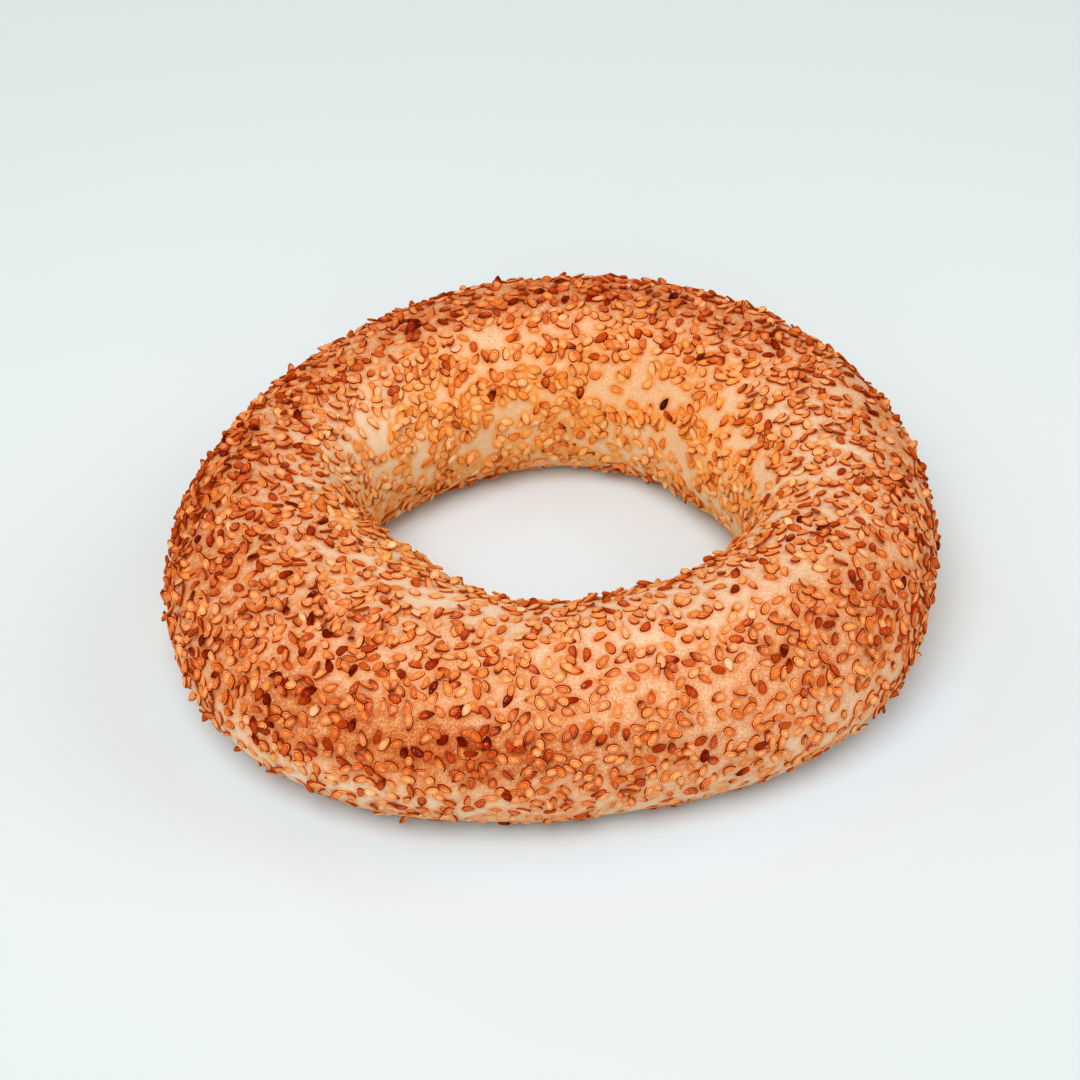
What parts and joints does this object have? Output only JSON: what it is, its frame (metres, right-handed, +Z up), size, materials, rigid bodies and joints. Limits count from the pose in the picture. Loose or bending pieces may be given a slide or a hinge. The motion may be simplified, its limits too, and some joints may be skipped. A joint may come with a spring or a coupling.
{
  "type": "simit bread ring",
  "caption": "Whole baked simit: a plump, slightly uneven bread ring crusted with sesame seeds, flat underneath, with an open hole through its middle.",
  "frame": {"origin": "middle of the ring's plan, on the plane that its flat base rests on", "axes": "+Z up through the hole; +X to the ring's right and +Y to its far side, as seen from its front"},
  "size_m": [0.1652, 0.1682, 0.041],
  "materials": {
    "crust": "matt baked bread crust, cream to orange-tan, browned on its crown",
    "sesame": "satin toasted sesame seeds, golden to dark brown"
  },
  "bodies": {
    "root": {"bread_ring": "crust"}
  },
  "joints": []
}
